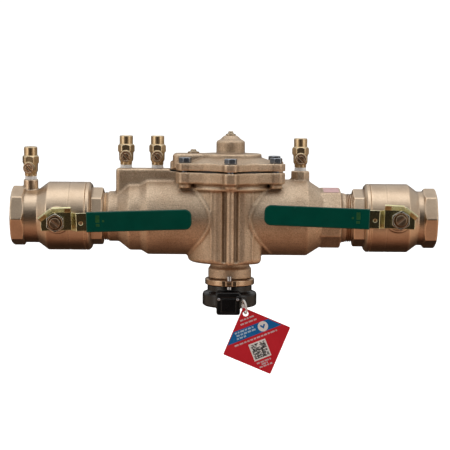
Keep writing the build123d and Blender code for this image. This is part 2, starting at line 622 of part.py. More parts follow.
def check_spring(hub_x):
    """Spring between the holder and the cage's hub."""
    start = 22.4
    length = hub_x - 2.2 - start
    return Pos(start, 0, 0) * Rot(0, 90, 0) * Pos(0, 0, 1.0) * coil(9.6, 0.9, length - 2.0, 4)


def relief_spring():
    """Spring between the guide's hub and the lower diaphragm plate."""
    return Pos(CHAMBER_X, 0, 25.4) * coil(10.0, 1.2, 28.6, 4)


def check_orings():
    """O-rings of both seat rings."""
    rings = []
    for seat_x in (CHECK1_SEAT_X, CHECK2_SEAT_X):
        rings.append(Pos(seat_x + 4.7, 0, 0) * Rot(0, 90, 0) * Torus(36.3, 1.65))
    return Compound(children=rings)


# --- Test cocks, modelled about Z with the base at the origin --------------------------------------------------

def test_cock_body():
    """Small brass ball cock: tapered foot, barrel with the plug's boss, hexagon and outlet tube."""
    shape = turned([(-8.5, 5.9), (-7.5, 6.4), (4.4, 6.4), (4.4, 6.0), (6.0, 6.2), (10.5, 8.9), (19.0, 9.1),
                    (20.0, 8.6), (30.0, 8.6), (30.6, 8.4), (40.4, 8.4), (41.0, 7.8)], Axis.Z)
    collar = hexagon_z(19.0, 19.5, 30.0, turn=0.0)
    trim = turned([(19.5, 9.2), (21.5, 10.6), (28.2, 10.6), (30.0, 9.2)], Axis.Z)
    shape += collar & trim
    for k in range(8):
        shape += Rot(0, 0, 45.0 * k + 22.5) * block(4.0, 7.6, -1.1, 1.1, 4.4, 9.0)
    shape += rod_y(7.5, -10.2, 0.0, z=COCK_PLUG_H)
    shape -= rod_z(5.6, 31.0, 42.0)
    shape -= rod_z(2.4, -9.0, 42.0)
    shape -= rod_y(COCK_PLUG_R + RUN_GAP, -11.0, 5.0, z=COCK_PLUG_H)
    return shape


def test_cock_plug():
    """Rotary plug with its slotted head, closed: its cross hole lies across the outlet."""
    shape = rod_y(COCK_PLUG_R, -10.3, 4.6, z=COCK_PLUG_H)
    shape += rod_y(6.8, -12.6, -10.3, z=COCK_PLUG_H)
    shape -= rod_y(5.4, -13.0, -11.9, z=COCK_PLUG_H) - rod_y(4.0, -13.5, -11.0, z=COCK_PLUG_H)
    shape -= rod_x(2.4, -10, 10, 0, COCK_PLUG_H)
    return shape - Pos(0, 0, COCK_PLUG_H) * Rot(0, 45, 0) * block(-7, 7, -13, -11.0, -0.9, 0.9)


def place_cock(shape, k):
    """Moves a test cock piece to its place k; the first one turns with the inlet valve it stands on."""
    lean = INLET_VALVE_TURN if k == 0 else 0.0
    return Rot(lean, 0, 0) * Pos(COCK_X[k], 0, COCK_BASE_Z[k]) * Rot(0, 0, COCK_TURN[k]) * shape


def thread_tapes():
    """A few turns of white sealing tape at each test cock's thread."""
    tapes = []
    for k in range(len(COCK_X)):
        wrap = turned([(0.0, 7.3), (1.0, 7.5), (3.4, 7.4), (4.2, 6.9)], Axis.Z) - rod_z(6.4, -1, 6)
        tapes.append(place_cock(wrap, k))
    return Compound(children=tapes)


# --- Flood sensor, clamp, tie and tag ---------------------------------------------------------------------

def flood_sensor_housing():
    """Plastic sensor body round the relief port's spigot, with the connector box in front."""
    shape = turned([(SENSOR_BOTTOM_Z, 31.8), (-110.5, 34.3), (-97.5, 34.3), (-95.2, 33.2), (-94.0, 30.6),
                    (-93.4, 28.1), (SENSOR_TOP_Z - 0.6, 28.1), (SENSOR_TOP_Z, 27.4)], Axis.Z)
    shape = Pos(CHAMBER_X, 0, 0) * shape
    box = block(*SENSOR_BOX_X, SENSOR_BOX_Y, -22.0, -119.0, -91.0)
    box = fillet(box.edges().filter_by(Axis.Y), 3.2)
    shape += fillet(box.edges().group_by(Axis.Y)[0], 0.8)
    shape -= rod_z(DRAIN_R + FIT_GAP, -95.0, -80.0, CHAMBER_X)
    shape -= rod_z(DRAIN_BORE_R, -121.0, -94.0, CHAMBER_X)
    shape -= block(CHAMBER_X - 10.6, CHAMBER_X + 8.4, SENSOR_BOX_Y - 1, SENSOR_BOX_Y + 1.6, -115.6, -98.0)
    shape -= block(CHAMBER_X - 8.0, CHAMBER_X + 5.8, SENSOR_BOX_Y, SENSOR_BOX_Y + 8.0, -113.0, -100.6)
    eye = rod_y(4.2, EYE.Y - EYE_HALF_T, EYE.Y + EYE_HALF_T, EYE.X, EYE.Z)
    web = block(SENSOR_BOX_X[1] - 3.5, EYE.X - 2.4, EYE.Y - EYE_HALF_T, SENSOR_BOX_Y + 2.0, EYE.Z + 1.0, EYE.Z + 4.2)
    shape += eye + web
    return shape - rod_y(3.0, EYE.Y - 5, EYE.Y + 5, EYE.X, EYE.Z)


def sensor_dust_cover():
    """Pull-off cover over the sensor's connector: a lid with a plug behind it."""
    lid = block(CHAMBER_X - 10.5, CHAMBER_X + 8.3, SENSOR_BOX_Y - 0.8, SENSOR_BOX_Y + 1.5, -115.5, -98.1)
    lid = fillet(lid.edges().filter_by(Axis.Y), 2.0)
    lid = fillet(lid.edges().group_by(Axis.Y)[0], 0.7)
    plug = block(CHAMBER_X - 7.9, CHAMBER_X + 5.7, SENSOR_BOX_Y + 1.4, SENSOR_BOX_Y + 7.0, -112.9, -100.7)
    return lid + plug


def sensor_clamp_ring():
    """Brass clamp ring, with the block for its upright screw in front."""
    shape = turned([(-85.4, 29.6), (-84.6, 31.2), (-78.2, 31.2), (-77.1, 29.4)], Axis.Z)
    shape = Pos(CHAMBER_X, 0, 0) * shape
    x = CHAMBER_X - 0.6
    shape += block(x - 9.3, x + 9.3, CLAMP_SCREW_Y - 1.6, -24.0, -84.9, -77.6)
    shape += rod_z(4.4, -84.9, -77.6, x, CLAMP_SCREW_Y)
    shape += block(x - 3.6, x + 3.6, CLAMP_SCREW_Y - 5.6, CLAMP_SCREW_Y, -83.4, -78.8)
    shape -= rod_z(DRAIN_R + FIT_GAP, -90, -70, CHAMBER_X)
    return shape - rod_z(2.6 + FIT_GAP, -90, -70, x, CLAMP_SCREW_Y)


def sensor_clamp_screw():
    """Upright clamp screw, slotted on top."""
    x = CHAMBER_X - 0.6
    shape = rod_z(2.6, -89.0, -71.5, x, CLAMP_SCREW_Y)
    shape = chamfer(shape.edges().filter_by(GeomType.CIRCLE), 0.5)
    return shape - block(x - 4, x + 4, CLAMP_SCREW_Y - 0.5, CLAMP_SCREW_Y + 0.5, -72.6, -71)


def tie_path():
    """Closed loop of the tie: an oval through the sensor's eye and the tag's hole."""
    middle = (EYE + TAG_HOLE) * 0.5
    along = (EYE - TAG_HOLE) * 0.5
    side = Vector(0.42, -0.91, 0.0)
    side = (side - along * (side.dot(along) / along.dot(along))).normalized()
    oval = Plane(origin=middle, x_dir=along.normalized(), z_dir=along.cross(side).normalized())
    return oval, along.length


def tag_tie():
    """Nylon tie, closed in an oval loop, with its locking head on the strand behind the tag."""
    oval, half_length = tie_path()
    path = oval * Ellipse(half_length, TIE_HALF_WIDTH)
    wire = path.edges()[0]
    section = Plane(origin=wire @ 0, z_dir=wire % 0) * Circle(TIE_R)
    loop = sweep(section, path=wire)
    head_plane = oval * Pos(0.5, -TIE_HALF_WIDTH, 0)
    head = head_plane * Box(4.6, 2.8, 3.8)
    tail = head_plane * Pos(-4.4, -0.4, 0) * Box(5.0, 1.1, 2.4)
    return loop + head + tail


def tag():
    """Square card tag hung by one corner, with rounded corners and a punched hole."""
    half_diagonal = TAG_SIDE / sqrt(2)
    drop = Rot(0, -TAG_TILT, 0) * Pos(0, 0, TAG_HOLE_DROP - half_diagonal)
    card = Rot(90, 0, 0) * extrude(Rot(0, 0, 45) * RectangleRounded(TAG_SIDE, TAG_SIDE, 1.6), TAG_T / 2, both=True)
    hole = rod_y(TAG_HOLE_R, -2, 2)
    return Pos(*TAG_HOLE) * (drop * card - hole)


# --- Assembly ------------------------------------------------------------------------------------------

def inlet_side(shape):
    """Places a valve piece on the inlet side."""
    return Pos(INLET_STEM_X, 0, 0) * Rot(INLET_VALVE_TURN, 0, 0) * shape


def outlet_side(shape):
    """Mirrors a valve piece on to the outlet side."""
    return Pos(OUTLET_STEM_X, 0, 0) * Rot(OUTLET_VALVE_TURN, 0, 0) * mirror(shape, about=Plane.YZ)


def valve_pieces():
    """Both shut-off valves, piece by piece."""
    inlet_cock = (COCK_X[0] - INLET_STEM_X, COCK_BASE_Z[0])
    pieces = {
        "inlet_valve_body": inlet_side(valve_body(INLET_STEM_X, *inlet_cock)),
        "outlet_valve_body": outlet_side(valve_body(LENGTH - OUTLET_STEM_X)),
        "inlet_valve_end_cap": inlet_side(valve_end_cap()),
        "outlet_valve_end_cap": outlet_side(valve_end_cap()),
    }
    makers = {"ball": ball, "ball_seats": ball_seats, "stem": stem, "stem_packing": stem_packing,
              "packing_nut": packing_nut, "handle_lever": handle_lever, "handle_grip": handle_grip,
              "handle_nut": handle_nut}
    for name, maker in makers.items():
        shape = maker()
        pieces["inlet_" + name] = inlet_side(shape)
        pieces["outlet_" + name] = outlet_side(shape)
    return pieces


def check_pieces():
    """Both check valve modules, piece by piece."""
    pieces = {"check_seat_orings": check_orings()}
    for k, seat_x, hub_x in ((1, CHECK1_SEAT_X, 58.0), (2, CHECK2_SEAT_X, 43.0)):
        place = Pos(seat_x, 0, 0)
        pieces[f"check{k}_seat"] = place * check_seat()
        pieces[f"check{k}_cage"] = place * check_cage(hub_x)
        pieces[f"check{k}_poppet"] = place * check_poppet(hub_x)
        pieces[f"check{k}_disc"] = place * check_disc()
        pieces[f"check{k}_spring"] = place * check_spring(hub_x)
    return pieces


def relief_pieces():
    """Cover, diaphragm and relief valve."""
    makers = (relief_cover, relief_diaphragm, cover_bolts, cover_vent_screw, sense_passage_plug, relief_seat,
              relief_stem_guide, relief_stem, relief_disc, diaphragm_plates, diaphragm_nut, relief_spring)
    return {maker.__name__: maker() for maker in makers}


def cock_pieces():
    """The four test cocks and their sealing tape."""
    pieces = {"test_cock_thread_tapes": thread_tapes()}
    for k in range(len(COCK_X)):
        pieces[f"test_cock_{k + 1}_body"] = place_cock(test_cock_body(), k)
        pieces[f"test_cock_{k + 1}_plug"] = place_cock(test_cock_plug(), k)
    return pieces


def sensor_pieces():
    """Flood sensor with its clamp, tie and tag."""
    makers = (flood_sensor_housing, sensor_dust_cover, sensor_clamp_ring, sensor_clamp_screw, tag_tie, tag)
    return {maker.__name__: maker() for maker in makers}


def main():
    """Builds every piece and writes one STEP file for each."""
    os.makedirs("parts", exist_ok=True)
    pieces = {"main_body": main_body()}
    for group in (valve_pieces, check_pieces, relief_pieces, cock_pieces, sensor_pieces):
        pieces.update(group())
    for name, shape in pieces.items():
        export_step(shape, f"parts/{name}.step")


main()
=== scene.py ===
"""Looks of a 2 inch reduced-pressure backflow preventer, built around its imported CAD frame.

Everything is in metres in the CAD frame: +X is the flow, +Z is up, and the levers are on the -Y side.
"""
import json
import math
import random

import bmesh
import bpy
from mathutils import Matrix, Vector
from mathutils.bvhtree import BVHTree
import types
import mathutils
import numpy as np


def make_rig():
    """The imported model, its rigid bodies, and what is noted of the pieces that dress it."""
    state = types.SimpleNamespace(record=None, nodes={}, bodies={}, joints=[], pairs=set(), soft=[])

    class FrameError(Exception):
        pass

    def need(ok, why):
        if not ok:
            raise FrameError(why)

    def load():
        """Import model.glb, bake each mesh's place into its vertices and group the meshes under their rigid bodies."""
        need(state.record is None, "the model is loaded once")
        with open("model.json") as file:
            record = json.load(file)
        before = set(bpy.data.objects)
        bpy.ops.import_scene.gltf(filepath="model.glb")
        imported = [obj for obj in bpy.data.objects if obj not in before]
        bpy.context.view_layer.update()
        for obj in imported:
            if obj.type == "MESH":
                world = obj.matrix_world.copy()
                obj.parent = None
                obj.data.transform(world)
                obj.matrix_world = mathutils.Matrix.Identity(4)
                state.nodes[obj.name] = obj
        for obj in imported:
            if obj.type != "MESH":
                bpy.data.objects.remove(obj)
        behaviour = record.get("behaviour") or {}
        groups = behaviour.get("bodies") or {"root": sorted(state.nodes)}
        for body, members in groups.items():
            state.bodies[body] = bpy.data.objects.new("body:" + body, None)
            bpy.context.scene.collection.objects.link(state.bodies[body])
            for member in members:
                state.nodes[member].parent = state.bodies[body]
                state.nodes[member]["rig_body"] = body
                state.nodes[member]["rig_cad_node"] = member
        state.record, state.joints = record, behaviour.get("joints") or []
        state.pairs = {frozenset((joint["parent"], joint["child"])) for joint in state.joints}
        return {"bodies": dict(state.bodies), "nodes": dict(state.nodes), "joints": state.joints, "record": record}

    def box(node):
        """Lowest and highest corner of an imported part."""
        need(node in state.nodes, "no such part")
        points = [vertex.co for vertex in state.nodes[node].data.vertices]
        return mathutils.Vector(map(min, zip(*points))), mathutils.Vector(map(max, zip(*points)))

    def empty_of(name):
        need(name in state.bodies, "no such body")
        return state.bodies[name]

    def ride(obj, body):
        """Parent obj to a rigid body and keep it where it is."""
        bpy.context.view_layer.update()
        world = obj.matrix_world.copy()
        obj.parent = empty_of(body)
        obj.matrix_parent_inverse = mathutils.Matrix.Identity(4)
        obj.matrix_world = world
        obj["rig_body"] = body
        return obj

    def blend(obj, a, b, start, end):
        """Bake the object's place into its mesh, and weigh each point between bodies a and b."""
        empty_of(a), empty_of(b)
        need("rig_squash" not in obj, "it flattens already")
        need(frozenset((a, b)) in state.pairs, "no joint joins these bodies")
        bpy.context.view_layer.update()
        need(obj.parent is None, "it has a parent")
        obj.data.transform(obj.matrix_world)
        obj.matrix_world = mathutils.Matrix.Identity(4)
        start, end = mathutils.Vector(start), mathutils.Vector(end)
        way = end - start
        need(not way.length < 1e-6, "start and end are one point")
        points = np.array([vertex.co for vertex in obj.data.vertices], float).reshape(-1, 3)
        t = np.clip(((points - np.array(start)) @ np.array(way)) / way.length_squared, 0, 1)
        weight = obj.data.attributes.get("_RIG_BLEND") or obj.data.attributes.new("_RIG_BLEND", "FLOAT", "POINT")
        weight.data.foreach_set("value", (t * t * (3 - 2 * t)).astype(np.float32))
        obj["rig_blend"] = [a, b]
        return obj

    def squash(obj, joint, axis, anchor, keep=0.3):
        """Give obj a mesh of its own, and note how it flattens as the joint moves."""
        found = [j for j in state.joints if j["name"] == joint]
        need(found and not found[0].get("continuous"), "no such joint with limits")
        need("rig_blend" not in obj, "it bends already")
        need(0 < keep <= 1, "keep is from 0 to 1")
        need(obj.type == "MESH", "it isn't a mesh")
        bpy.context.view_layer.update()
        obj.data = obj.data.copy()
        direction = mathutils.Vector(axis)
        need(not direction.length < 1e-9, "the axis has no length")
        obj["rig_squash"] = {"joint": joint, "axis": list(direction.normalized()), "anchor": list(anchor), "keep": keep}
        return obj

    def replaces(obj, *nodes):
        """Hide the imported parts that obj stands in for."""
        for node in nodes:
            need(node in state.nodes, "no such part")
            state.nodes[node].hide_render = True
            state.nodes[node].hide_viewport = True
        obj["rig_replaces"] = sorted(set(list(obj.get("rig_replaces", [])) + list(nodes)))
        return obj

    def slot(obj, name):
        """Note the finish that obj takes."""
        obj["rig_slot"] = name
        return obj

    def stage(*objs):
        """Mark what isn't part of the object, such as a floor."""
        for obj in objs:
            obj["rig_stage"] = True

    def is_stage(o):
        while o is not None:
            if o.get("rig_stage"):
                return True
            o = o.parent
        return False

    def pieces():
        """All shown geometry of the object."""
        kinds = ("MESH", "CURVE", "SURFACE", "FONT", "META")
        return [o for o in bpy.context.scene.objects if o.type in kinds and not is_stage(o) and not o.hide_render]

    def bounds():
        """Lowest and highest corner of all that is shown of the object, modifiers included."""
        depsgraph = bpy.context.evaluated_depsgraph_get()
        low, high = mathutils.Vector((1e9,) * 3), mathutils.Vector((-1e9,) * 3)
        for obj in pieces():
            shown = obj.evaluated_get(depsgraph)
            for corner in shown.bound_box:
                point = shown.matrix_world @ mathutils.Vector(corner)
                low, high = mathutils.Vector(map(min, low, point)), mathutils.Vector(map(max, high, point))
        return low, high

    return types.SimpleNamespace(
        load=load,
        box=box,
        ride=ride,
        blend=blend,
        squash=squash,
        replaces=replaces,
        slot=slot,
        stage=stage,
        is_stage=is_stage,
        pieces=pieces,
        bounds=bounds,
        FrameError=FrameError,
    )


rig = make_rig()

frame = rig.load()
CAD_BOX = [list(corner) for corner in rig.bounds()]
NODES = frame["nodes"]
RECORD = frame["record"]
BODY_OF = {node: body for body, nodes in RECORD["behaviour"]["bodies"].items() for node in nodes}
SLOT_OF = {part["node"]: part["material_slot"] for part in RECORD["subparts"]}
MM = 0.001
random.seed(7)


# --- Places taken from the frame -------------------------------------------------------------------------

def low(node):
    """Lowest corner of a CAD node's box."""
    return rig.box(node)[0]


def high(node):
    """Highest corner of a CAD node's box."""
    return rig.box(node)[1]


def centre(node):
    """Centre of a CAD node's box."""
    return (low(node) + high(node)) / 2


LENGTH = high("outlet_valve_body").x
CHAMBER_X = centre("cover_vent_screw").x


# --- Camera and studio -----------------------------------------------------------------------------------

def add_camera():
    """Long lens, a little above the pipe's axis, square on to the levers."""
    target = Vector((LENGTH / 2 + 0.0014, 0.0, -0.0104))
    distance = 1.9
    elevation = math.radians(5.0)
    data = bpy.data.cameras.new("camera")
    data.lens = 120.2
    data.sensor_width = 36.0
    camera = bpy.data.objects.new("camera", data)
    bpy.context.scene.collection.objects.link(camera)
    camera.location = target + distance * Vector((0.0, -math.cos(elevation), math.sin(elevation)))
    look = (target - camera.location).to_track_quat("-Z", "Y").to_matrix()
    roll = Matrix.Rotation(math.radians(0.44), 3, "Z")
    camera.rotation_euler = (look @ roll).to_euler()
    bpy.context.scene.camera = camera


def add_area_light(name, place, aim, size, power, colour=(1.0, 1.0, 1.0)):
    """A rectangular soft box."""
    data = bpy.data.lights.new(name, "AREA")
    data.shape = "RECTANGLE"
    data.size, data.size_y = size
    data.energy = power
    data.color = colour
    light = bpy.data.objects.new(name, data)
    bpy.context.scene.collection.objects.link(light)
    light.location = place
    light.rotation_euler = (Vector(aim) - Vector(place)).to_track_quat("-Z", "Y").to_euler()


def along(tree, output):
    """One part of a direction, -1 to 1, as a place on a ramp."""
    node = tree.nodes.new("ShaderNodeMapRange")
    node.inputs["From Min"].default_value = -1.0
    link(tree, output, node.inputs["Value"])
    return node.outputs["Result"]


def add_world():
    """Bright overhead, warm below, dark behind the camera and under the back of the set."""
    world = bpy.data.worlds.new("studio")
    world.use_nodes = True
    tree = world.node_tree
    coords = tree.nodes.new("ShaderNodeTexCoord").outputs["Generated"]
    split = tree.nodes.new("ShaderNodeSeparateXYZ")
    link(tree, coords, split.inputs["Vector"])
    sky = ramp(tree, along(tree, split.outputs["Z"]), (
        (0.0, (0.30, 0.14, 0.085)), (0.10, (0.50, 0.28, 0.19)), (0.25, (0.88, 0.58, 0.41)),
        (0.40, (0.58, 0.43, 0.32)), (0.50, (0.48, 0.41, 0.34)), (0.62, 0.56), (0.8, 0.74), (1.0, 0.92)))
    front = ramp(tree, along(tree, split.outputs["Y"]),
                 ((0.0, 0.04), (0.035, 0.10), (0.09, 0.42), (0.15, 1.0)))
    behind = tree.nodes.new("ShaderNodeVectorMath")
    behind.operation = "DOT_PRODUCT"
    behind.inputs[1].default_value = (0.0, 0.8, -0.6)
    link(tree, coords, behind.inputs[0])
    pit = ramp(tree, along(tree, behind.outputs["Value"]),
               ((0.0, 1.0), (0.70, 1.0), (0.84, 0.12), (1.0, 0.06)))
    room = mix(tree, 1.0, mix(tree, 1.0, sky, front, "MULTIPLY"), pit, "MULTIPLY")
    link(tree, room, tree.nodes["Background"].inputs["Color"])
    tree.nodes["Background"].inputs["Strength"].default_value = 1.05
    bpy.context.scene.world = world


def add_sweep():
    """Pale floor that curves up into a wall behind the object."""
    floor_z = CAD_BOX[0][2] - 0.05
    front, back, half_width, radius, wall_height, steps = -6.0, 2.4, 6.0, 1.2, 5.0, 16
    profile = [(front, floor_z), (back - radius, floor_z)]
    for k in range(1, steps + 1):
        turn = math.pi / 2 * k / steps
        profile.append((back - radius + radius * math.sin(turn), floor_z + radius * (1 - math.cos(turn))))
    profile.append((back, floor_z + wall_height))
    points = [(side, y, z) for y, z in profile for side in (-half_width, half_width)]
    faces = [(2 * k, 2 * k + 1, 2 * k + 3, 2 * k + 2) for k in range(len(profile) - 1)]
    mesh = bpy.data.meshes.new("floor")
    mesh.from_pydata(points, [], faces)
    mesh.polygons.foreach_set("use_smooth", [True] * len(faces))
    floor = bpy.data.objects.new("floor", mesh)
    bpy.context.scene.collection.objects.link(floor)
    material, tree, shader, coords = new_material("floor_paint")
    shader.inputs["Base Color"].default_value = (0.9, 0.9, 0.9, 1.0)
    shader.inputs["Emission Color"].default_value = (1.0, 1.0, 1.0, 1.0)
    shader.inputs["Emission Strength"].default_value = 0.55
    link(tree, ramp(tree, noise(tree, coords, 3.0), ((0.0, 0.8), (1.0, 0.95))), shader.inputs["Roughness"])
    mesh.materials.append(material)
    floor.visible_glossy = False
    floor.visible_diffuse = False
    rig.stage(floor)


def add_studio():
    """World, sweep and soft boxes."""
    add_world()
    add_sweep()
    middle = (LENGTH / 2, 0.0, 0.0)
    add_area_light("top_box", (LENGTH / 2, -0.25, 1.5), middle, (1.8, 1.1), 5.0)
    add_area_light("left_box", (-1.3, -1.0, 0.25), middle, (1.0, 1.4), 5.0, (1.0, 0.95, 0.88))
    add_area_light("right_box", (1.85, -1.0, 0.25), middle, (0.9, 1.4), 3.8, (1.0, 0.95, 0.88))


# --- Node helpers for materials --------------------------------------------------------------------------

def new_material(name):
    """A material with its Principled shader, its node tree and object coordinates."""
    material = bpy.data.materials.new(name)
    material.use_nodes = True
    tree = material.node_tree
    shader = tree.nodes["Principled BSDF"]
    coords = tree.nodes.new("ShaderNodeTexCoord").outputs["Object"]
    return material, tree, shader, coords


def link(tree, output, socket):
    """Joins an output to an input."""
    tree.links.new(output, socket)


def noise(tree, coords, scale, detail=4.0, roughness=0.55):
    """Noise with features of 1 / scale metres."""
    node = tree.nodes.new("ShaderNodeTexNoise")
    node.inputs["Scale"].default_value = scale
    node.inputs["Detail"].default_value = detail
    node.inputs["Roughness"].default_value = roughness
    link(tree, coords, node.inputs["Vector"])
    return node.outputs["Fac"]


def cells(tree, coords, scale):
    """Distance to the nearest of scattered points."""
    node = tree.nodes.new("ShaderNodeTexVoronoi")
    node.inputs["Scale"].default_value = scale
    link(tree, coords, node.inputs["Vector"])
    return node.outputs["Distance"]


def ramp(tree, factor, stops):
    """A colour ramp; a stop's value is a colour or a grey."""
    node = tree.nodes.new("ShaderNodeValToRGB")
    elements = node.color_ramp.elements
    while len(elements) < len(stops):
        elements.new(0.5)
    for element, (place, value) in zip(elements, stops):
        element.position = place
        colour = value if isinstance(value, tuple) else (value, value, value)
        element.color = (*colour, 1.0)
    link(tree, factor, node.inputs["Fac"])
    return node.outputs["Color"]


def mix(tree, factor, first, second, blend="MIX"):
    """Mixes two colour outputs."""
    node = tree.nodes.new("ShaderNodeMix")
    node.data_type = "RGBA"
    node.blend_type = blend
    if isinstance(factor, float):
        node.inputs["Factor"].default_value = factor
    else:
        link(tree, factor, node.inputs["Factor"])
    colours = [socket for socket in node.inputs if socket.type == "RGBA"]
    link(tree, first, colours[0])
    link(tree, second, colours[1])
    return [socket for socket in node.outputs if socket.type == "RGBA"][0]


def bump(tree, shader, heights):
    """Chains bump nodes from (height, distance in metres, strength) into the shader's normal."""
    normal = None
    for height, distance, strength in heights:
        node = tree.nodes.new("ShaderNodeBump")
        node.inputs["Distance"].default_value = distance
        node.inputs["Strength"].default_value = strength
        link(tree, height, node.inputs["Height"])
        if normal is not None:
            link(tree, normal, node.inputs["Normal"])
        normal = node.outputs["Normal"]
    link(tree, normal, shader.inputs["Normal"])


def edge_mask(tree, start, end):
    """White on raised edges, black in hollows."""
    geometry = tree.nodes.new("ShaderNodeNewGeometry")
    return ramp(tree, geometry.outputs["Pointiness"], ((start, 0.0), (end, 1.0)))


# --- Materials -------------------------------------------------------------------------------------------

def casting(name, grain, pits):
    """Cast bronze: blotches, sand grain with painted glints, painted shade in hollows and painted highlights on raised
    edges.
    """
    material, tree, shader, coords = new_material(name)
    shader.inputs["Metallic"].default_value = 1.0
    blotch = ramp(tree, noise(tree, coords, 28.0, 5.0, 0.6),
                  ((0.3, (0.45, 0.335, 0.235)), (0.7, (0.60, 0.475, 0.35))))
    grain_and_glints = ramp(tree, noise(tree, coords, 650.0, 4.0, 0.75),
                ((0.34, 1.0 - 0.30 * grain), (0.5, 1.0), (0.68, 1.0 + 0.22 * grain)))
    # painted glints: tiny spots of brighter base colour stand in for light sparkling off the sand grain
    painted_glints = ramp(tree, noise(tree, coords, 1100.0, 2.0, 0.5), ((0.66, 1.0), (0.74, 1.0 + 0.8 * grain)))
    grain_and_glints = mix(tree, 1.0, grain_and_glints, painted_glints, "MULTIPLY")
    colour = mix(tree, 1.0, blotch, grain_and_glints, "MULTIPLY")
    # painted shade and painted highlight: hollows darkened and raised edges lightened by pointiness
    painted_shade_and_highlight = ramp(tree, tree.nodes.new("ShaderNodeNewGeometry").outputs["Pointiness"],
                  ((0.43, (0.20, 0.13, 0.09)), (0.497, (1.0, 1.0, 1.0)), (0.55, (1.45, 1.45, 1.43))))
    colour = mix(tree, 1.0, colour, painted_shade_and_highlight, "MULTIPLY")
    link(tree, colour, shader.inputs["Base Color"])
    link(tree, ramp(tree, noise(tree, coords, 500.0, 4.0, 0.7),
                    ((0.3, 0.22 + 0.18 * grain), (0.7, 0.29 + 0.30 * grain))), shader.inputs["Roughness"])
    bump(tree, shader, [(noise(tree, coords, 90.0, 3.0), 0.0010, 0.25 * grain),
                        (noise(tree, coords, 480.0, 4.0, 0.7), 0.0009, 0.6 * grain),
                        (cells(tree, coords, 900.0), 0.0003, pits)])
    return material


def metal(name, dark, light, rough, grain, edge_highlight):
    """Machined or plated metal: tone, gloss, fine grain (scale, depth) and a painted highlight on raised edges."""
    material, tree, shader, coords = new_material(name)
    shader.inputs["Metallic"].default_value = 1.0
    colour = ramp(tree, noise(tree, coords, 110.0, 6.0, 0.65), ((0.3, dark), (0.7, light)))
    # painted highlight: raised edges take a brighter colour
    edge = edge_mask(tree, 0.50, 0.57)
    colour = mix(tree, edge, colour, ramp(tree, edge, ((0.0, edge_highlight), (1.0, edge_highlight))))
    link(tree, colour, shader.inputs["Base Color"])
    fine = noise(tree, coords, 520.0, 5.0, 0.7)
    link(tree, ramp(tree, fine, ((0.25, rough[0]), (0.75, rough[1]))), shader.inputs["Roughness"])
    bump(tree, shader, [(noise(tree, coords, grain[0], 3.0, 0.6), grain[1], 0.5)])
    return material


def plastic(name, dark, light, rough, grain, specular=0.5):
    """A moulded plastic, vinyl or rubber with a fine skin."""
    material, tree, shader, coords = new_material(name)
    link(tree, ramp(tree, noise(tree, coords, 60.0, 4.0), ((0.35, dark), (0.65, light))),
         shader.inputs["Base Color"])
    shader.inputs["Specular IOR Level"].default_value = specular
    link(tree, ramp(tree, noise(tree, coords, 40.0, 3.0), ((0.3, rough[0]), (0.7, rough[1]))),
         shader.inputs["Roughness"])
    bump(tree, shader, [(noise(tree, coords, grain[0], 3.0), grain[1], 0.5)])
    return material


METALS = {      # dark tone, light tone, roughness, grain (scale, depth), painted highlight on edges
    "machined_bronze": ((0.38, 0.26, 0.17), (0.52, 0.37, 0.25), (0.22, 0.38), (900.0, 0.00010),
                        (0.78, 0.60, 0.42)),
    "bright_brass": ((0.50, 0.37, 0.21), (0.66, 0.51, 0.32), (0.24, 0.38), (1200.0, 0.00006),
                     (0.86, 0.73, 0.53)),
    "dull_brass": ((0.32, 0.25, 0.17), (0.46, 0.37, 0.26), (0.28, 0.42), (900.0, 0.00010),
                   (0.60, 0.50, 0.38)),
    "zinc_yellow_steel": ((0.42, 0.38, 0.19), (0.60, 0.55, 0.32), (0.16, 0.28), (300.0, 0.00008),
                          (0.90, 0.86, 0.62)),
    "nut_steel": ((0.60, 0.55, 0.44), (0.80, 0.76, 0.66), (0.18, 0.30), (500.0, 0.00008),
                  (0.95, 0.92, 0.84)),
    "zinc_steel": ((0.09, 0.11, 0.14), (0.19, 0.22, 0.27), (0.22, 0.38), (800.0, 0.00008),
                   (0.60, 0.63, 0.68)),
    "stainless_steel": ((0.50, 0.50, 0.50), (0.64, 0.64, 0.63), (0.2, 0.34), (900.0, 0.00005),
                        (0.8, 0.8, 0.8)),
    "chromed_ball": ((0.70, 0.70, 0.71), (0.80, 0.80, 0.81), (0.05, 0.13), (500.0, 0.00001),
                     (0.9, 0.9, 0.9)),
}
INK = ((0.2, 0.32), (40.0, 0.00004))
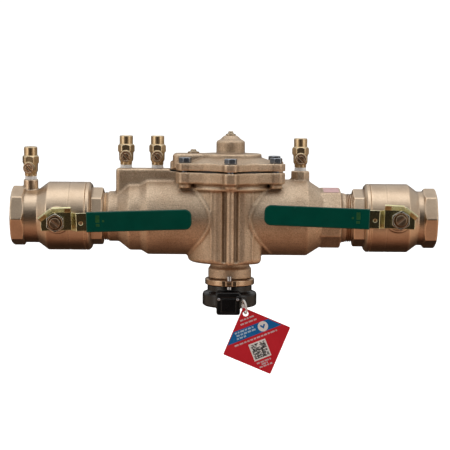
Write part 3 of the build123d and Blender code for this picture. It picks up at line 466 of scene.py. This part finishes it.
PLASTICS = {    # dark tone, light tone, roughness, grain (scale, depth), specular if not the usual
    "green_vinyl": ((0.0, 0.064, 0.045), (0.0, 0.073, 0.051), (0.20, 0.28), (120.0, 0.00004), 0.28),
    "ptfe": ((0.86, 0.87, 0.88), (0.95, 0.95, 0.95), (0.4, 0.6), (700.0, 0.0002)),
    "black_plastic": ((0.003, 0.003, 0.004), (0.006, 0.006, 0.007), (0.22, 0.34), (900.0, 0.00012)),
    "grey_plastic": ((0.24, 0.25, 0.26), (0.32, 0.33, 0.34), (0.4, 0.55), (700.0, 0.0001)),
    "nylon_white": ((0.70, 0.70, 0.70), (0.84, 0.84, 0.84), (0.22, 0.38), (500.0, 0.00008)),
    "rubber_black": ((0.014, 0.014, 0.014), (0.024, 0.024, 0.024), (0.5, 0.7), (900.0, 0.0001)),
    "tag_card": ((0.60, 0.022, 0.036), (0.66, 0.028, 0.044), (0.2, 0.28), (40.0, 0.00004)),
    "print_blue": ((0.01, 0.14, 0.42), (0.012, 0.16, 0.46), *INK),
    "print_white": ((0.80, 0.80, 0.80), (0.88, 0.88, 0.88), *INK),
    "print_pale": ((0.62, 0.42, 0.46), (0.72, 0.52, 0.56), *INK),
    "print_pale_blue": ((0.36, 0.55, 0.75), (0.44, 0.63, 0.82), *INK),
    "print_grey": ((0.16, 0.17, 0.18), (0.26, 0.27, 0.28), *INK),
    "print_olive": ((0.010, 0.075, 0.028), (0.030, 0.125, 0.034), (0.25, 0.4), (120.0, 0.00004)),
    "print_black": ((0.02, 0.02, 0.022), (0.04, 0.04, 0.042), *INK),
    "label_pink": ((0.62, 0.36, 0.36), (0.70, 0.44, 0.43), (0.35, 0.5), (200.0, 0.0001)),
}


def make_materials():
    """Every material, by the record's slot or by a name of its own."""
    materials = {
        "cast_bronze": casting("cast_bronze", grain=1.0, pits=0.45),
        "satin_bronze": casting("satin_bronze", grain=0.30, pits=0.12),
    }
    for name, finish in METALS.items():
        materials[name] = metal(name, *finish)
    for name, finish in PLASTICS.items():
        materials[name] = plastic(name, *finish)
    return materials


MATERIALS = make_materials()


# --- Pieces ----------------------------------------------------------------------------------------------

def new_piece(name, mesh, material, body, smooth=True):
    """Links a mesh as a piece that rides on a body, or on none if it will bend between two."""
    mesh.polygons.foreach_set("use_smooth", [smooth] * len(mesh.polygons))
    piece = bpy.data.objects.new(name, mesh)
    bpy.context.scene.collection.objects.link(piece)
    mesh.materials.clear()
    mesh.materials.append(MATERIALS[material])
    if body:
        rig.ride(piece, body)
    return piece


def surface_of(node):
    """A CAD node's surface, to cast rays at."""
    mesh = NODES[node].data
    return BVHTree.FromPolygons([vertex.co for vertex in mesh.vertices],
                                [polygon.vertices for polygon in mesh.polygons])


def dress_cad_nodes():
    """Every CAD node takes the material of its slot in the record."""
    for node, slot in SLOT_OF.items():
        NODES[node].data.materials.clear()
        NODES[node].data.materials.append(MATERIALS[slot])


def resurfaced(mesh, voxel, passes, name):
    """The mesh rebuilt as one skin of small faces, with its corners rounded as in casting or wear."""
    temp = bpy.data.objects.new(name, mesh)
    bpy.context.scene.collection.objects.link(temp)
    skin = temp.modifiers.new("skin", "REMESH")
    skin.mode = "VOXEL"
    skin.voxel_size = voxel
    soften = temp.modifiers.new("soften", "SMOOTH")
    soften.factor = 0.5
    soften.iterations = passes
    graph = bpy.context.evaluated_depsgraph_get()
    result = bpy.data.meshes.new_from_object(temp.evaluated_get(graph))
    bpy.data.objects.remove(temp)
    return result


def resurface(node, voxel_mm, passes, material, additions=()):
    """Replaces a CAD node by its resurfaced copy, with raised details grown into it."""
    build = bmesh.new()
    build.from_mesh(NODES[node].data)
    for addition in additions:
        addition(build)
    joined = bpy.data.meshes.new(node)
    build.to_mesh(joined)
    build.free()
    skin = resurfaced(joined, voxel_mm * MM, passes, node)
    piece = new_piece(node + "_skin", skin, material, BODY_OF[node])
    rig.replaces(piece, node)
    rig.slot(piece, SLOT_OF[node])


def sweep(build, path, radius, up, closed=False, sides=12):
    """Adds a round bar along a path."""
    rings = []
    for k, place in enumerate(path):
        last = len(path) - 1
        ahead = path[(k + 1) % len(path)] if closed or k < last else place
        behind = path[k - 1] if closed or k > 0 else place
        heading = (ahead - behind).normalized()
        side = heading.cross(up).normalized()
        rise = side.cross(heading)
        rings.append([build.verts.new(place + radius * (math.cos(turn) * side + math.sin(turn) * rise))
                      for turn in (2 * math.pi * j / sides for j in range(sides))])
    pairs = list(zip(rings, rings[1:]))
    if closed:
        pairs.append((rings[-1], rings[0]))
    else:
        build.faces.new(rings[0][::-1])
        build.faces.new(rings[-1])
    for near, far in pairs:
        for j in range(sides):
            build.faces.new((near[j], near[j - 1], far[j - 1], far[j]))


def oblong(left, right, bottom, top):
    """Corners of an upright oblong."""
    return ((left, bottom), (right, bottom), (right, top), (left, top))


def slab(build, corners, depth):
    """Adds a flat piece: its outline, and how far it goes back from there."""
    front = [build.verts.new(corner) for corner in corners]
    back = [build.verts.new(corner + depth) for corner in corners]
    build.faces.new(front)
    build.faces.new(back[::-1])
    for k in range(len(front)):
        build.faces.new((front[k], front[k - 1], back[k - 1], back[k]))


def lathe(build, place, axis, profile, segments=32):
    """Adds a turned solid from (height, radius) pairs along its axis."""
    across = axis.orthogonal().normalized()
    other = axis.cross(across)
    turns = [2 * math.pi * j / segments for j in range(segments)]
    rings = []
    for height, radius in profile:
        middle = place + axis * height
        rings.append([build.verts.new(middle + radius * (math.cos(turn) * across + math.sin(turn) * other))
                      for turn in turns])
    build.faces.new(rings[0][::-1])
    build.faces.new(rings[-1])
    for near, far in zip(rings, rings[1:]):
        for j in range(segments):
            build.faces.new((near[j - 1], near[j], far[j], far[j - 1]))


def finished(build, name, material, body, smooth=True):
    """Turns what has been built into a piece."""
    bmesh.ops.recalc_face_normals(build, faces=build.faces)
    mesh = bpy.data.meshes.new(name)
    build.to_mesh(mesh)
    build.free()
    return new_piece(name, mesh, material, body, smooth)


# --- Castings --------------------------------------------------------------------------------------------

BARREL_R = 47.9 * MM          # middle of the body
CHAMBER_R = 53.4 * MM         # relief chamber
CHAMBER_FRONT = -50.4 * MM    # the flat down the front of the chamber


def add_barrel_fillets(build):
    """Fillets where the barrel runs into the chamber."""
    steps = 24
    for side in (-1, 1):
        for rise, reach in ((-1, 0.8), (1, 0.92)):
            path = []
            for k in range(steps + 1):
                y = -BARREL_R * math.cos(math.pi / 2 * reach * k / steps)
                x = CHAMBER_X + side * (math.sqrt(CHAMBER_R ** 2 - y ** 2) + 0.8 * MM)
                path.append(Vector((x, y, rise * math.sqrt(BARREL_R ** 2 - y ** 2))))
            sweep(build, path, 1.7 * MM, Vector((0, 0, 1)) if side > 0 else Vector((0, 1, 0.3)))


def add_chamber_edges(build):
    """Corners of the flattened front of the chamber, and the strip beside its left groove."""
    for x in (-22.7 * MM, 27.2 * MM):
        y = -math.sqrt(CHAMBER_R ** 2 - x ** 2) + 0.5 * MM
        path = [Vector((CHAMBER_X + x, y, z * MM)) for z in range(-50, 40, 3)]
        sweep(build, path, 1.5 * MM, Vector((0, 1, 0)))
    corners = [Vector((CHAMBER_X + x * MM, CHAMBER_FRONT - 0.8 * MM, z * MM))
               for x, z in ((-13.2, -50), (-10.6, -50), (-10.6, 36), (-13.2, 36))]
    slab(build, corners, Vector((0, 3 * MM, 0)))


def add_block_fillet(build):
    """Fillet where the front of the cock block runs into the stepped barrel."""
    surface = surface_of("main_body")
    front, above = -15.6 * MM, 58 * MM
    starts = [Vector((x * MM, front, above)) for x in range(132, 206, 2)]
    path = [surface.ray_cast(start, Vector((0, 0, -1)))[0] for start in starts]
    sweep(build, path, 1.2 * MM, Vector((0, 1, 0)))


def add_flange_band(build):
    """Rounded band that runs round the chamber just under its flange."""
    radius, height, steps = 54.2 * MM, 37.5 * MM, 96
    path = [Vector((CHAMBER_X + radius * math.cos(turn), radius * math.sin(turn), height))
            for turn in (2 * math.pi * k / steps for k in range(steps))]
    sweep(build, path, 2.4 * MM, Vector((0, 0, 1)), closed=True)


def add_castings():
    """Castings with the rounded inner and outer corners that sand casting leaves."""
    resurface("main_body", 1.25, 4, "cast_bronze",
              (add_barrel_fillets, add_chamber_edges, add_block_fillet, add_flange_band))
    resurface("relief_cover", 1.0, 4, "cast_bronze")
    for end in ("inlet", "outlet"):
        resurface(end + "_valve_body", 0.85, 3, "satin_bronze")
        resurface(end + "_valve_end_cap", 0.85, 3, "satin_bronze")


def add_fittings():
    """Machined, pressed and moulded parts with their edges eased."""
    for end in ("inlet", "outlet"):
        resurface(end + "_handle_lever", 0.5, 2, "zinc_yellow_steel")
        resurface(end + "_handle_grip", 0.6, 3, "green_vinyl")
        resurface(end + "_handle_nut", 0.35, 2, "nut_steel")
        resurface(end + "_packing_nut", 0.45, 2, "bright_brass")
        resurface(end + "_stem", 0.3, 1, "machined_bronze")
    for k in (1, 2, 3, 4):
        resurface(f"test_cock_{k}_body", 0.38, 2, "bright_brass")
        resurface(f"test_cock_{k}_plug", 0.35, 2, "machined_bronze")
    resurface("cover_bolts", 0.5, 2, "zinc_steel")
    resurface("cover_vent_screw", 0.35, 2, "dull_brass")
    resurface("sense_passage_plug", 0.35, 2, "dull_brass")
    resurface("flood_sensor_housing", 0.7, 3, "black_plastic")
    resurface("sensor_dust_cover", 0.4, 2, "black_plastic")
    resurface("sensor_clamp_ring", 0.5, 2, "machined_bronze")


# --- Springs and diaphragm -------------------------------------------------------------------------------

CHECK_LIFT = 9.0 * MM         # travel of each check poppet
RELIEF_STROKE = 8.0 * MM      # travel of the relief stem
DIAPHRAGM_RIM_R = 36.0 * MM   # the diaphragm is clamped outside this
PLATES_R = 29.5 * MM          # and moves with its plates inside this


def add_springs():
    """The springs, which shorten towards the end that stays still as their joints move."""
    for node, joint, axis, fixed_end, travel in (
            ("check1_spring", "check1_lift", Vector((1, 0, 0)), high, CHECK_LIFT),
            ("check2_spring", "check2_lift", Vector((1, 0, 0)), high, CHECK_LIFT),
            ("relief_spring", "relief_stroke", Vector((0, 0, 1)), low, RELIEF_STROKE)):
        piece = new_piece(node + "_coil", NODES[node].data.copy(), "stainless_steel", BODY_OF[node])
        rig.replaces(piece, node)
        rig.slot(piece, SLOT_OF[node])
        length = (high(node) - low(node)).dot(axis)
        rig.squash(piece, joint, axis, fixed_end(node), keep=(length - travel) / length)


def add_diaphragm():
    """Rubber diaphragm in eight sectors, which bend between the clamped rim and the plates in its middle."""
    node = "relief_diaphragm"
    middle = Vector((CHAMBER_X, 0, centre(node).z))
    half_sector = math.pi / 8
    for k in range(8):
        turn = 2 * half_sector * k
        out = Vector((math.cos(turn), math.sin(turn), 0))
        build = bmesh.new()
        build.from_mesh(NODES[node].data)
        for side in (-1, 1):
            angle = turn + side * half_sector
            cut = side * Vector((-math.sin(angle), math.cos(angle), 0))
            bmesh.ops.bisect_plane(build, geom=build.verts[:] + build.edges[:] + build.faces[:],
                                   plane_co=middle, plane_no=cut, clear_outer=True)
        bmesh.ops.holes_fill(build, edges=[edge for edge in build.edges if edge.is_boundary])
        piece = finished(build, f"diaphragm_sector_{k + 1}", SLOT_OF[node], None, smooth=False)
        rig.slot(piece, SLOT_OF[node])
        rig.blend(piece, "root", "relief_moving", middle + out * DIAPHRAGM_RIM_R, middle + out * PLATES_R)
    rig.replaces(piece, node)


# --- Threads ---------------------------------------------------------------------------------------------

PIPE_THREAD = (29.3 * MM, 30.7 * MM, 2.2 * MM)      # root radius, crest radius, pitch


def add_thread(name, material, place, axis, length, root, crest, pitch, segments=72):
    """Helical ridge that stands from the root radius to the crest radius and runs out at both ends."""
    across = axis.orthogonal().normalized()
    other = axis.cross(across)
    build = bmesh.new()
    steps = int((length / pitch - 1.0) * segments)
    half_base = axis * 0.42 * pitch
    rings = []
    for k in range(steps + 1):
        turn = 2 * math.pi * k / segments
        out = math.cos(turn) * across + math.sin(turn) * other
        middle = place + axis * pitch * (0.5 + k / segments)
        tip = root + (crest - root) * min(1.0, 4 * k / segments, 4 * (steps - k) / segments)
        rings.append([build.verts.new(middle - half_base + out * root),
                      build.verts.new(middle + out * tip),
                      build.verts.new(middle + half_base + out * root)])
    build.faces.new(rings[0])
    build.faces.new(rings[-1][::-1])
    for near, far in zip(rings, rings[1:]):
        for j in range(3):
            build.faces.new((near[j - 1], near[j], far[j], far[j - 1]))
    finished(build, name, material, "root", smooth=False)


def add_threads():
    """Pipe thread left showing beside each valve, and the tapped ports and test cock mouths."""
    axis = Vector((1, 0, 0))
    margin = 0.4 * MM
    start = Vector((high("inlet_valve_end_cap").x + 0.1 * MM, 0, 0))
    add_thread("inlet_end_thread", "machined_bronze", start, axis, 6.8 * MM, *PIPE_THREAD)
    start = Vector((low("outlet_valve_end_cap").x - 9.7 * MM, 0, 0))
    add_thread("outlet_end_thread", "machined_bronze", start, axis, 9.6 * MM, *PIPE_THREAD)
    for mount in RECORD["mounts"]:
        if mount["kind"] != "threaded_hole":
            continue
        radius = mount["dims"]["r_mm"] * MM
        inward = -Vector(mount["axis"])
        start = Vector(mount["pos_m"]) + inward * margin
        length = mount["dims"]["length_mm"] * MM - 2 * margin
        small = radius < 10.0 * MM
        material = "bright_brass" if small else "machined_bronze"
        root = radius + 0.15 * MM
        crest = radius - (0.5 if small else 1.0) * MM
        pitch = (1.4 if small else 2.2) * MM
        add_thread(mount["name"] + "_thread", material, start, inward, length, root, crest, pitch)


# --- Small things ----------------------------------------------------------------------------------------

def add_sensor_screws():
    """Two small screws on the front of the sensor's box."""
    front = low("flood_sensor_housing").y
    height = high("sensor_dust_cover").z - 1.0 * MM
    middle = CHAMBER_X - 1.6 * MM
    for name, side in (("left", -1), ("right", 1)):
        build = bmesh.new()
        place = Vector((middle + side * 11.6 * MM, front + 0.5 * MM, height))
        head = ((0.0, 1.7), (0.7, 1.6), (1.0, 1.2), (1.05, 0.6), (0.7, 0.45), (0.65, 0.1))
        lathe(build, place, Vector((0, -1, 0)), [(rise * MM, radius * MM) for rise, radius in head])
        finished(build, "sensor_screw_" + name, "zinc_steel", "root")


def add_sticker():
    """Blank paper sticker on an upper facet of the outlet end's octagon."""
    surface = surface_of("main_body")
    slope = math.radians(79.5)
    out = Vector((0, -math.cos(slope), math.sin(slope)))
    build = bmesh.new()
    corners = []
    for x, shift in oblong(391.0, 410.5, -11.0, 11.0):
        side = Vector((0, out.z, -out.y)) * shift * MM
        place, normal, _, _ = surface.ray_cast(Vector((x * MM, 0, 0)) + side + out * 0.1, -out)
        corners.append(place + normal * 0.25 * MM)
    slab(build, corners, -out * 0.4 * MM)
    finished(build, "outlet_sticker", "label_pink", "root", smooth=False)


def add_grip_marks():
    """Worn printed mark on each grip, near the lever's root: two bars and a dot."""
    for end, side in (("inlet", 1), ("outlet", -1)):
        node = end + "_handle_grip"
        root_x = low(node).x if side > 0 else high(node).x
        surface = surface_of(node)
        build = bmesh.new()
        for mark in ((12.0, 17.0, -2.5, 6.5), (12.6, 17.2, -7.5, -4.0), (20.0, 22.8, -1.8, 1.0)):
            corners = []
            for out, rise in oblong(*mark):
                start = Vector((root_x + side * out * MM, low(node).y - 0.02, centre(node).z + rise * MM))
                place = surface.ray_cast(start, Vector((0, 1, 0)))[0]
                corners.append(place - Vector((0, 0.05 * MM, 0)))
            slab(build, corners, Vector((0, 0.3 * MM, 0)))
        finished(build, end + "_grip_mark", "print_olive", BODY_OF[node], smooth=False)


def tag_frame():
    """Centre of the tag's front face, and its two half diagonals."""
    front = low("tag").y
    points = [vertex.co for vertex in NODES["tag"].data.vertices]
    left = min(points, key=lambda point: point.x)
    right = max(points, key=lambda point: point.x)
    top = max(points, key=lambda point: point.z)
    bottom = min(points, key=lambda point: point.z)
    middle = (left + right + top + bottom) / 4
    middle.y = front
    across = (right - left) / 2
    rise = (top - bottom) / 2
    across.y = rise.y = 0.0
    return middle, across, rise


def add_print(name, material, outlines, layer):
    """A printed area on the tag, from outlines given in half diagonals."""
    middle, across, rise = tag_frame()
    build = bmesh.new()
    proud = 0.05 * MM * layer
    for outline in outlines:
        corners = [middle + across * u + rise * v + Vector((0, -proud, 0)) for u, v in outline]
        slab(build, corners, Vector((0, proud + 0.1 * MM, 0)))
    finished(build, name, material, "tag_card", smooth=False)


def line_of_bars(v, left, right, height=0.05):
    """A row of short bars of uneven length that stands for a printed line."""
    bars = []
    place = left
    while place < right - 0.03:
        width = min(random.uniform(0.05, 0.13), right - place)
        bars.append(oblong(place, place + width, v - height / 2, v + height / 2))
        place += width + 0.025
    return bars


def add_tag_print():
    """Blue band, white disc, code square and lines of print."""
    add_print("tag_band", "print_blue", [((-0.81, 0.17), (0.81, 0.17), (0.52, 0.465), (-0.52, 0.465))], 1)
    disc = [(0.31 + 0.145 * math.cos(turn), 0.32 + 0.145 * math.sin(turn))
            for turn in (2 * math.pi * k / 40 for k in range(40))]
    add_print("tag_disc", "print_white", [disc], 2)
    tick = ((0.23, 0.36), (0.31, 0.25), (0.39, 0.36), (0.35, 0.38), (0.31, 0.32), (0.27, 0.38))
    add_print("tag_disc_mark", "print_blue", [tick], 3)
    add_print("tag_code_square", "print_white", [oblong(-0.265, 0.24, -0.525, -0.02)], 1)
    dark_cells, grey_cells = [], []
    count, start = 15, (-0.225, -0.485)
    size = 0.425 / count
    for row in range(count):
        for column in range(count):
            left, bottom = start[0] + column * size, start[1] + row * size
            cell = oblong(left, left + size * 0.98, bottom, bottom + size * 0.98)
            chance = random.random()
            if chance < 0.22:
                dark_cells.append(cell)
            elif chance < 0.75:
                grey_cells.append(cell)
    add_print("tag_code_dark", "print_black", dark_cells, 2)
    add_print("tag_code_grey", "print_grey", grey_cells, 2)
    pale = []
    for v, left, right in ((0.69, -0.23, 0.18), (0.58, -0.26, 0.22), (0.08, -0.63, 0.64),
                           (-0.605, -0.23, 0.19), (-0.67, -0.11, 0.07), (-0.735, -0.2, 0.18)):
        pale += line_of_bars(v, left, right, 0.045)
    add_print("tag_lines", "print_pale", pale, 1)
    blue = []
    for v, left, right in ((0.405, -0.50, 0.06), (0.322, -0.48, 0.11), (0.24, -0.50, -0.18)):
        blue += line_of_bars(v, left, right)
    add_print("tag_band_lines", "print_pale_blue", blue, 2)


add_camera()
add_studio()
dress_cad_nodes()
add_castings()
add_fittings()
add_springs()
add_diaphragm()
add_threads()
add_sensor_screws()
add_sticker()
add_grip_marks()
add_tag_print()
bpy.context.scene.view_settings.view_transform = "Standard"

with open("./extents.json", "w") as out:
    json.dump({"cad": CAD_BOX, "visual": [list(corner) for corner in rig.bounds()]}, out)
